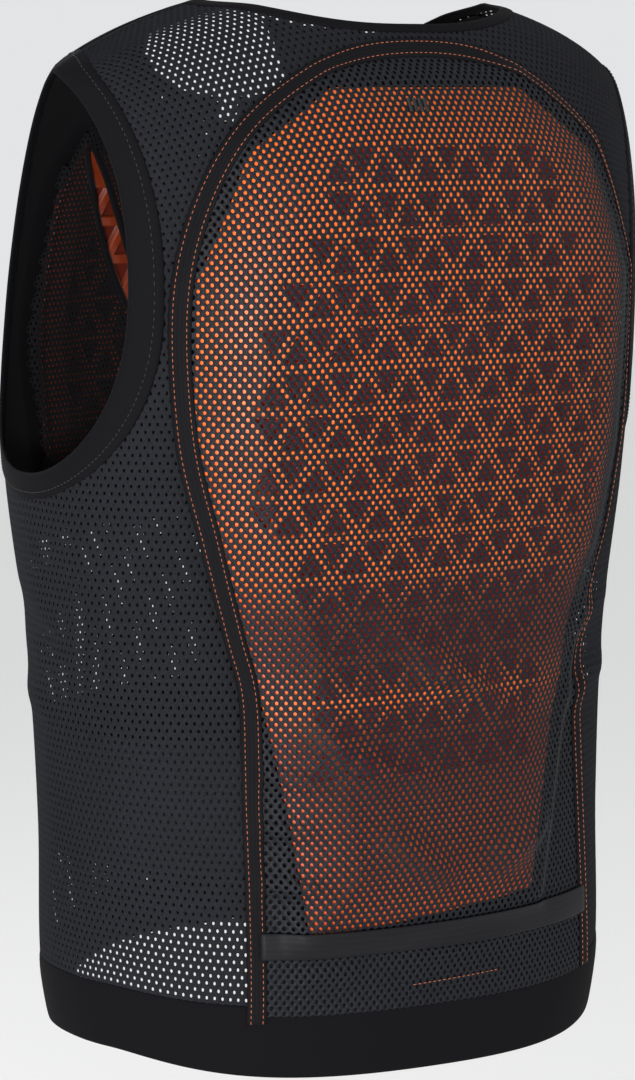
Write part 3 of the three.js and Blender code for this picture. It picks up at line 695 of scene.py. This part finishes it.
frontNet = {"pitch": 4.3, "rowStep": 4.3, "holeWide": 0.9, "holeTall": 1.7, "relief": 0.8}
for side, sign, turns, reach in (
        ("Left", 1, (-math.pi / 2 - 0.1, -0.01), (4, 252)),
        ("Right", -1, (-math.pi + 0.01, -math.pi / 2 + 0.1), (-252, -4))):
    piece = wrapNet("frontNet" + side, frontNet, turns, (0.055, 0.9999),
                    lambda base: 1.0 + foldRise(base), keepFront(sign), reach)
    finishPiece(piece, "black_net", bodyNetFinish, "front_mesh_" + side.lower())

pocketNet = {"pitch": 4.6, "rowStep": 3.03, "holeWide": 1.75, "holeTall": 2.6, "relief": 0.7}
pocketPiece = wrapNet(
    "backPocketNet", pocketNet, (0.1, math.pi - 0.1), (0.055, 0.95),
    lambda base: backDrape(base) + 0.6,
    lambda x, y, z, share: (distanceInside(archOutline, x, z) > 1.5) & (share > bandShare - 0.006),
    (-176, 176))
finishPiece(pocketPiece, "pocket_net", pocketNetFinish, "back_pocket_panel")


# The lining of the back pocket is closed cloth, a fine grid wrapped in the same way.
def wrapLining(name, turns, shares, depth, keep):
    bm = bmesh.new()
    bmesh.ops.create_grid(bm, x_segments=80, y_segments=120, size=0.5)
    flat = np.array([vert.co for vert in bm.verts]) + 0.5
    turn = turns[0] + (turns[1] - turns[0]) * flat[:, 0]
    share = shares[0] + (shares[1] - shares[0]) * flat[:, 1]
    base = bodyPoint(turn, share)
    kept = keep(base[:, 0], base[:, 1], base[:, 2], share)
    spots = placed(base + bodyNormal(turn, share) * depth)
    for vert, spot in zip(bm.verts, spots):
        vert.co = spot
    bm.verts.ensure_lookup_table()
    bmesh.ops.delete(bm, geom=[v for v, k in zip(bm.verts, kept) if not k], context="VERTS")
    mesh = bpy.data.meshes.new(name)
    bm.to_mesh(mesh)
    bm.free()
    smoothFaces(mesh)
    return addObject(name, mesh)


liningPiece = wrapLining(
    "backPocketLining", (0.4, math.pi - 0.4), (0.062, 0.95), 0.5,
    lambda x, y, z, share: distanceInside(archOutline, x, z) > -1)
finishPiece(liningPiece, "lining_net", liningFinish, "back_pocket_lining")
print("nets wrapped")


# Tapes, bindings and bands are flat tubes led along a path on the body. Their sizes give
# both edges off the path, the thickness, the height over the body (all in mm), the steps
# along and around, and how square the edges are (1 is round).
def ribbon(name, path, size, closed, material, slot, nodes=(), lift=None):
    steps, around = size["steps"], size.get("around", 12)
    low, high = size["low"], size["high"]
    bm = bmesh.new()
    bmesh.ops.create_grid(bm, x_segments=steps, y_segments=around, size=0.5)
    grid = bpy.data.meshes.new(name)
    bm.to_mesh(grid)
    bm.free()
    flat = getPoints(grid) + 0.5
    along = np.round(flat[:, 0] * steps) / steps
    turn = np.round(flat[:, 1] * around) / around * 2 * math.pi
    square = signedPower(np.cos(turn), size.get("corner", 0.55))
    across = (low + high) / 2 + (high - low) / 2 * square
    depth = size["base"] + size["thickness"] / 2 * signedPower(np.sin(turn), 0.8)
    turns, shares = path(along, across)
    points = bodyPoint(turns, shares)
    if lift is not None:
        depth = depth + lift(points)
    setPoints(grid, placed(points + bodyNormal(turns, shares) * depth[:, None]))
    # the UV map counts millimetres along and across the ribbon
    middle = bodyPoint(*path(np.linspace(0, 1, 200), np.full(200, (low + high) / 2)))
    run = float(np.linalg.norm(np.diff(middle, axis=0), axis=1).sum())
    uv = grid.uv_layers.new(name="weave")
    loops = np.empty(len(grid.loops), np.int32)
    grid.loops.foreach_get("vertex_index", loops)
    values = np.stack([along * run, flat[:, 1] * 2 * (high - low)], -1)[loops]
    uv.data.foreach_set("uv", values.astype(np.float32).ravel())
    bm = bmesh.new()
    bm.from_mesh(grid)
    bmesh.ops.remove_doubles(bm, verts=bm.verts, dist=1e-6)
    if not closed:
        bmesh.ops.holes_fill(bm, edges=[e for e in bm.edges if e.is_boundary], sides=0)
    bmesh.ops.recalc_face_normals(bm, faces=bm.faces)
    bm.to_mesh(grid)
    bm.free()
    smoothFaces(grid)
    thing = addObject(name, grid)
    finishPiece(thing, slot, material, *nodes)
    return run


def offsetArch(along, across):
    run = np.gradient(archLine, axis=0)
    run /= np.linalg.norm(run, axis=1, keepdims=True)
    at = along * (len(archLine) - 1)
    index = np.arange(len(archLine))
    point = np.stack([np.interp(at, index, archLine[:, k]) for k in (0, 1)], -1)
    step = np.stack([np.interp(at, index, run[:, k]) for k in (0, 1)], -1)
    return point + np.stack([step[:, 1], -step[:, 0]], -1) * across[:, None]


def archPath(along, across):
    # the arch starts and ends at the top of the waistband
    spot = offsetArch(0.055 + along * 0.89, across)
    return fromBack(spot[:, 0], spot[:, 1])


def bindingLoop(extra, along):
    angle = along * 2 * math.pi
    power = 2 / armhole["cornerPower"]
    y = armhole["middleY"] + (armhole["halfDepth"] + extra) * signedPower(np.cos(angle), power)
    rise = (armhole["halfHeight"] + extra) * signedPower(np.sin(angle), power)
    return y, rise


def armholePath(mirror):
    def path(along, across):
        turn, share = fromSide(*bindingLoop(across, along))
        return (math.pi - turn if mirror else turn), share

    return path


def neckPath(along, across):
    angle = -math.pi / 2 + 0.09 + along * (2 * math.pi - 0.18)
    depth = np.where(np.sin(angle) > 0, neck["backDepth"], neck["frontDepth"])
    power = 2 / neck["power"]
    x = (neck["halfWidth"] + across) * signedPower(np.cos(angle), power)
    y = neck["middleY"] + (depth + across * neck["slopeShare"]) * signedPower(np.sin(angle), power)
    return fromTop(x, y)


archTape = {"low": -5, "high": 5, "thickness": 1.6, "base": 0.7, "steps": 420}
tapeLength = ribbon("archTape", archPath, archTape, False, tapeFinish, "black_tape",
                    ["seam_tape"], backDrape)

armholeBinding = {"low": -0.6, "high": 13, "thickness": 2.6, "base": 0.7, "steps": 220}
for side, mirror in (("Left", False), ("Right", True)):
    armholeLength = ribbon("armholeBinding" + side, armholePath(mirror), armholeBinding, True,
                           bindingFinish, "black_elastic", ["armhole_binding_" + side.lower()])

neckBinding = {"low": -0.6, "high": 8, "thickness": 2.4, "base": 0.7, "steps": 200}
ribbon("neckBinding", neckPath, neckBinding, False, bindingFinish, "black_elastic",
       ["neck_binding"])

hemBand = {
    "low": 0.0, "high": 42.5, "thickness": 2.2, "base": 0.8, "steps": 260, "around": 24,
    "corner": 0.75,
    "zipGap": 0.031,  # turn left free on each side of the zip
    "shareHeight": 600,  # mm of height for a whole share, near the hem
}


def bandPath(along, across):
    gap = hemBand["zipGap"]
    turn = -math.pi / 2 + gap + along * (2 * math.pi - 2 * gap)
    return turn, np.clip(across / hemBand["shareHeight"], 0.0, 1)


ribbon("hemBand", bandPath, hemBand, False, bandFinish, "black_elastic", ["waistband"])

lowerBackElastic = {
    "low": -6.8, "high": 6.8, "thickness": 1.4, "base": 2.4, "steps": 90, "corner": 0.3,
    "leftEnd": 104,
    "length": 223,
    "share": 0.123,
}


def stripPath(along, across):
    x = lowerBackElastic["leftEnd"] - along * lowerBackElastic["length"]
    share = lowerBackElastic["share"] + across / hemBand["shareHeight"]
    return turnOf(x / readRows(2, share), 1), share


ribbon("lowerBackElastic", stripPath, lowerBackElastic, False, stripFinish, "black_elastic",
       ["elastic_strip"], backDrape)

# The inner waist belt runs from the back pocket round the side to the zip.
waistBelt = {
    "low": 0.0, "high": 100.0, "thickness": 1.4, "base": -1.0, "steps": 110, "around": 24,
    "corner": 0.75,
    "leftEdge": 104,
    "rightEdge": 122,
    "lowShare": 0.178,
    "shares": 0.105,  # its whole width
    "zipGap": 0.038,
}


def beltPath(mirror):
    edge = waistBelt["rightEdge"] if mirror else waistBelt["leftEdge"]

    def path(along, across):
        share = waistBelt["lowShare"] + across / waistBelt["high"] * waistBelt["shares"]
        start = turnOf(edge / readRows(2, share), 1)
        turn = start + along * (-math.pi / 2 + waistBelt["zipGap"] - start)
        return (math.pi - turn if mirror else turn), share

    return path


for side, mirror in (("Left", False), ("Right", True)):
    ribbon("waistBelt" + side, beltPath(mirror), waistBelt, False, bandFinish, "black_elastic",
           ["waist_belt_" + side.lower()])
print("tapes and bindings made")


# Stitches are short lengths of thread along a path.
def stitchRows(name, path, size, length, material, slot, lift=None):
    bm = bmesh.new()
    radius = size["thread"] * 0.0005
    for row in size["rows"]:
        count = int(length / size["spacing"])
        along = (np.arange(count) + 0.5) / count
        ends = []
        for shift in (-0.27, 0.27):
            turn, share = path(along + shift / count, np.full(count, float(row)))
            base = bodyPoint(turn, share)
            rise = size["base"] + (lift(base) if lift else 0)
            ends.append(placed(base + bodyNormal(turn, share) * np.reshape(rise, (-1, 1))))
        for a, b in zip(*ends):
            a, b = Vector(a), Vector(b)
            made = bmesh.ops.create_cone(bm, cap_ends=True, segments=6, radius1=radius,
                                         radius2=radius, depth=(b - a).length)["verts"]
            turnTo = (b - a).to_track_quat("Z", "Y").to_matrix().to_4x4()
            turnTo.translation = (a + b) / 2
            bmesh.ops.transform(bm, matrix=turnTo, verts=made)
    mesh = bpy.data.meshes.new(name)
    bm.to_mesh(mesh)
    bm.free()
    smoothFaces(mesh)
    return finishPiece(addObject(name, mesh), slot, material)


# Rows off the path, distance from stitch to stitch, thread and height, in millimetres
archStitches = {"rows": (-3, 3), "spacing": 3.2, "thread": 0.42, "base": 1.5}
stitchRows("archStitches", archPath, archStitches, tapeLength, orangeThread, "black_tape",
           backDrape)

armholeStitches = {"rows": (9.5,), "spacing": 3.2, "thread": 0.5, "base": 1.95}
for side, mirror in (("Left", False), ("Right", True)):
    stitchRows("armholeStitches" + side, armholePath(mirror), armholeStitches, armholeLength,
               blackThread, "black_elastic")


# A straight row of stitches across the back
def straightPath(size):
    def path(along, across):
        return fromBack(size["leftEnd"] - along * size["length"], size["height"] + across)

    return path


pocketHemStitches = {
    "rows": (0,), "spacing": 3.2, "thread": 0.42, "base": 1.5,
    "leftEnd": 17, "length": 60, "height": 50,
}
stitchRows("pocketHemStitches", straightPath(pocketHemStitches), pocketHemStitches,
           pocketHemStitches["length"], orangeThread, "black_tape", backDrape)

topBarTack = {
    "rows": (-3, -2, -1, 0, 1, 2, 3), "spacing": 3.0, "thread": 1.1, "base": 1.3,
    "leftEnd": 26.5, "length": 13, "height": 530,
}
stitchRows("topBarTack", straightPath(topBarTack), topBarTack, topBarTack["length"],
           blackThread, "black_tape", backDrape)
print("stitches sewn")


# Each foam pad is a copy of its moulded plate with softened edges.
foamEdge = {"back": 0.9, "chest": 0.8}  # bevel of the moulded edges, in millimetres


def foamPad(name, node, side, softness, material):
    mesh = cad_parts[node].data.copy()
    mesh.name = name
    bm = bmesh.new()
    bm.from_mesh(mesh)
    bmesh.ops.remove_doubles(bm, verts=bm.verts, dist=1e-5)
    sharp = [e for e in bm.edges if len(e.link_faces) == 2 and e.calc_face_angle(0) > 0.55]
    bmesh.ops.bevel(bm, geom=sharp, offset=softness / 1000, offset_type="OFFSET", segments=2,
                    profile=0.5, affect="EDGES", clamp_overlap=True, material=-1)
    bm.to_mesh(mesh)
    bm.free()
    smoothFaces(mesh)
    points = getPoints(mesh) * 1000 + originShift
    turn, share = fromBack(points[:, 0], points[:, 2], 1 if side > 0 else -1)
    base, normal = bodyPoint(turn, share), bodyNormal(turn, share)
    height = ((points - base) * normal).sum(1) * side
    # painted shade: each pad is made darker where its pockets are sunk
    if side > 0:
        lumbar = np.array(backPad["lumbar"])
        part = np.interp(points[:, 2], lumbar[:, 0], lumbar[:, 1])
        full = backDrape(base) - foldRise(base) - backPad["clearance"] - backPad["seat"]
        full = backPad["seat"] + full * part
        # painted shade: the low back, which lies in shade below the crown, is darker on its whole
        # face, and darker still where the pad is thin
        low = 0.4 * smoothStep(300, 262, points[:, 2]) * smoothStep(0.95, 0.8, part)
        paintedShade = np.clip((full - height - 0.8) / 3.0, 0, 1) + 0.5 * (1 - part) + low
    else:
        full = -chestDrape(base) - backPad["clearance"]
        paintedShade = np.clip((full - height - 0.8) / 3.0, 0, 1)
    paintedShade = np.clip(paintedShade, 0, 1)
    mesh.attributes.new("paintedShade", "FLOAT", "POINT").data.foreach_set("value", paintedShade)
    thing = addObject(name, mesh)
    finishPiece(thing, "orange_foam", material, node)
    return thing


foamPad("backProtector", "back_protector", 1, foamEdge["back"], foamFinish)
# the chest pads take the copy of the foam with painted shade
for side in ("left", "right"):
    foamPad("chestPad" + side.title(), "chest_pad_" + side, -1, foamEdge["chest"],
            shadedFoamFinish)
print("foam pads made")


# Chest pockets, each with a slit towards its pad
slitRun = np.array(chestPad["slitEnd"], float) - np.array(chestPad["slitStart"], float)
slitLength = float(np.linalg.norm(slitRun))
slitSide = np.array([-slitRun[1], slitRun[0]]) / slitLength


def slitLevel(x, z, extra):
    along = ((x - chestPad["slitStart"][0]) * slitRun[0]
             + (z - chestPad["slitStart"][1]) * slitRun[1]) / slitLength**2
    off = ((x - chestPad["slitStart"][0]) * slitSide[0]
           + (z - chestPad["slitStart"][1]) * slitSide[1])
    half = chestPad["slitHalfWidth"] * np.sin(math.pi * np.clip(along, 0, 1)) ** 0.6 + extra
    return (along > 0) & (along < 1) & (np.abs(off) < half)


def chestPocketOutline():
    points = []
    middle = np.array(chestPad["middle"], float)
    for point in chestPad["outline"]:
        away = np.array(point, float) - middle
        away *= 1 + chestPad["pocketMargin"] / np.linalg.norm(away)
        points.append(tuple(middle + away))
    return points


pocketEdge = chestPocketOutline()
chestNet = {"pitch": 3.4, "rowStep": 3.4, "holeWide": 1.3, "holeTall": 1.8, "relief": 0.3,
            "side": -1}
for side, sign, turns, reach in (
        ("Left", 1, (-math.pi / 2 - 0.1, -0.05), (30, 185)),
        ("Right", -1, (-math.pi + 0.05, -math.pi / 2 + 0.1), (-185, -30))):
    piece = wrapNet(
        "chestPocket" + side, chestNet, turns, (0.4, 0.93),
        lambda base: chestDrape(base) - 0.6,
        lambda x, y, z, share: (distanceInside(pocketEdge, x * sign, z) > -1)
        & ~slitLevel(x * sign, z, 1.0), reach)
    finishPiece(piece, "lining_net", liningFinish, "chest_pocket_" + side.lower())


# Closed black cloth lines the chest between the pocket and the armhole.
def keepChest(sign):
    return lambda x, y, z, share: (
        (armholeLevel(x, y, z, 3) > 1) & (neckLevel(x, y, z, 6) > 1) & (x * sign > 14)
        & (z > 285) & (y < 12))


for side, sign, turns in (("Left", 1, (-math.pi / 2, -0.02)),
                          ("Right", -1, (-math.pi + 0.02, -math.pi / 2))):
    piece = wrapLining("chestLining" + side, turns, (0.4, 0.99), -0.9, keepChest(sign))
    finishPiece(piece, "lining_net", liningFinish)


# The yoke is lined in the same way, up to the wearer's left shoulder.
yokeLining = wrapLining(
    "yokeLining", (0.3, math.pi - 0.02), (0.6, 0.995), -0.9,
    lambda x, y, z, share: (distanceInside(archOutline, x, z) < 6) & (x < 88)
    & (armholeLevel(x, y, z, 3) > 1) & (neckLevel(x, y, z, 5) > 1) & (z > 415))
finishPiece(yokeLining, "lining_net", liningFinish)


def slitPath(sign):
    def path(along, across):
        t = np.where(along < 0.5, along * 2, 2 - along * 2)
        half = (chestPad["slitHalfWidth"] + 0.5) * np.clip(np.sin(math.pi * t), 0, 1) ** 0.6
        half = half * np.where(along < 0.5, 1, -1)
        out = across * np.where(along < 0.5, 1, -1)
        x = chestPad["slitStart"][0] + slitRun[0] * t + slitSide[0] * (half + out)
        z = chestPad["slitStart"][1] + slitRun[1] * t + slitSide[1] * (half + out)
        return fromBack(sign * x, z, -1)

    return path


slitBinding = {"low": -0.5, "high": 3.5, "thickness": -1.2, "base": -0.6, "steps": 90}
for side, sign in (("Left", 1), ("Right", -1)):
    ribbon("chestSlitBinding" + side, slitPath(sign), slitBinding, True, tapeFinish,
           "lining_net", lift=chestDrape)
print("chest pockets made")


# Seam covers and the front zip
sideSeam = {
    "low": -4, "high": 4, "thickness": 1.4, "base": 1.1, "steps": 120,
    "lowShare": 0.066,
    "highShare": 0.49,
}
shoulderSeam = {
    "low": -4, "high": 4, "thickness": 1.4, "base": 1.1, "steps": 40,
    "neckEnd": 101,
    "length": 66,
}


def sideSeamPath(mirror):
    def path(along, across):
        share = sideSeam["lowShare"] + along * (sideSeam["highShare"] - sideSeam["lowShare"])
        centre = readRows(6, share)
        y = seams["sideY"] + across
        part = np.abs((y - centre) / readRows(4, share))
        x = (1 - part ** body["ringPower"]) ** (1 / body["ringPower"])
        turn = turnOf(x, -1)
        return (math.pi - turn if mirror else turn), share

    return path


def shoulderSeamPath(mirror):
    def path(along, across):
        x = shoulderSeam["neckEnd"] + along * shoulderSeam["length"]
        turn, share = fromTop(x, np.full(len(x), float(seams["shoulderY"])) + across)
        return (math.pi - turn if mirror else turn), share

    return path


for side, mirror in (("Left", False), ("Right", True)):
    ribbon("sideSeam" + side, sideSeamPath(mirror), sideSeam, False, tapeFinish, "black_net",
           lift=foldRise)
    ribbon("shoulderSeam" + side, shoulderSeamPath(mirror), shoulderSeam, False, tapeFinish,
           "black_net")


frontZip = {
    "low": -9, "high": 9, "thickness": 1.6, "base": 0.9, "steps": 120, "around": 16,
    "corner": 0.3,
    "lowShare": 0.003,
    "shares": 0.806,  # its whole height
    "toothPitch": 2.2,
    "toothSize": (2.6, 1.2, 1.3),
    "toothOffset": 1.2,
    "toothBase": 2.0,
}


def zipPath(along, across):
    share = frontZip["lowShare"] + along * frontZip["shares"]
    return turnOf(across / readRows(2, share), -1), share


zipLength = ribbon("frontZipTape", zipPath, frontZip, False, tapeFinish, "zip_tape",
                   ["front_zip"])


def zipCoil():
    bm = bmesh.new()
    count = int(zipLength / frontZip["toothPitch"])
    along = (np.arange(count) + 0.5) / count
    for shift in (-frontZip["toothOffset"], frontZip["toothOffset"]):
        turn, share = zipPath(along, np.full(count, shift))
        normal = bodyNormal(turn, share)
        middles = placed(bodyPoint(turn, share) + normal * frontZip["toothBase"])
        for middle, out in zip(middles, normal):
            made = bmesh.ops.create_cube(bm, size=1)["verts"]
            bmesh.ops.scale(bm, verts=made, vec=Vector(frontZip["toothSize"]) / 1000)
            turnTo = Vector(out).to_track_quat("Y", "Z").to_matrix().to_4x4()
            turnTo.translation = Vector(middle)
            bmesh.ops.transform(bm, matrix=turnTo, verts=made)
    mesh = bpy.data.meshes.new("frontZipCoil")
    bm.to_mesh(mesh)
    bm.free()
    smoothFaces(mesh)
    return addObject("frontZipCoil", mesh)


# Nylon coil: hard, slightly glossy
nylonCoil = newMaterial("blackNylonCoil", "141417", 0.38)[0]
finishPiece(zipCoil(), "zip_tape", nylonCoil)
print("seams and zip made")
# Floor, light and camera
# metres from the mount
studio = {
    "floorHeight": -1.05,
    "floorColour": "eeeeec",
    "worldColour": "f4f5f7",
    "worldStrength": 0.85,
    # name, place, size, watts
    "lamps": [
        ("keyLamp", (2.05, 2.5, -0.3), 0.5, 106),
        ("flankLamp", (2.9, 1.0, -0.4), 0.8, 22),
        ("sideLamp", (-1.9, 1.8, 0.5), 1.2, 8),
        ("topLamp", (0.2, 0.8, 2.2), 1.4, 4),
        ("frontLamp", (0.8, -2.4, 0.6), 1.8, 14),
    ],
}
bm = bmesh.new()
bmesh.ops.create_grid(bm, x_segments=1, y_segments=1, size=9)
floorMesh = bpy.data.meshes.new("studioFloor")
bm.to_mesh(floorMesh)
bm.free()
floorMesh.transform(Matrix.Translation((0, 0, studio["floorHeight"])))
floor = addObject("studioFloor", floorMesh)
# seamless paper: pale and quite matt
floor.data.materials.append(newMaterial("palePaper", studio["floorColour"], 0.9)[0])
floor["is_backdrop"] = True

world = bpy.data.worlds.new("studioWorld")
world.use_nodes = True
world.node_tree.nodes["Background"].inputs["Color"].default_value = fromHex(studio["worldColour"])
world.node_tree.nodes["Background"].inputs["Strength"].default_value = studio["worldStrength"]
bpy.context.scene.world = world
aim = Vector((0, 0, -0.28))
for name, place, size, watts in studio["lamps"]:
    lamp = bpy.data.lights.new(name, "AREA")
    lamp.energy = watts
    lamp.size = size
    holder = bpy.data.objects.new(name, lamp)
    holder.location = place
    holder.rotation_euler = (aim - Vector(place)).to_track_quat("-Z", "Y").to_euler()
    bpy.context.scene.collection.objects.link(holder)

# degrees off the middle of the back, millimetres, and focal length over picture height
view = {"turn": 33.5, "distance": 2000, "height": 545, "targetHeight": 284, "focal": 3500 / 1080}
angle = math.radians(view["turn"])
place = placed(np.array([math.sin(angle) * view["distance"], math.cos(angle) * view["distance"],
                         view["height"]]))
target = placed(np.array([0, 0, view["targetHeight"]]))
camera = bpy.data.cameras.new("photoCamera")
camera.sensor_width = 36
camera.lens = 36 * view["focal"]
cameraHolder = bpy.data.objects.new("photoCamera", camera)
cameraHolder.location = Vector(place)
cameraHolder.rotation_euler = (Vector(target) - Vector(place)).to_track_quat("-Z", "Y").to_euler()
bpy.context.scene.collection.objects.link(cameraHolder)
bpy.context.scene.camera = cameraHolder
bpy.context.scene.view_settings.view_transform = "Standard"
print("studio set")

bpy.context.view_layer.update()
triangles = {piece.name: len(piece.data.loop_triangles) or sum(
    len(p.vertices) - 2 for p in piece.data.polygons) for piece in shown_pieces()}
print("triangles", sum(triangles.values()), triangles)
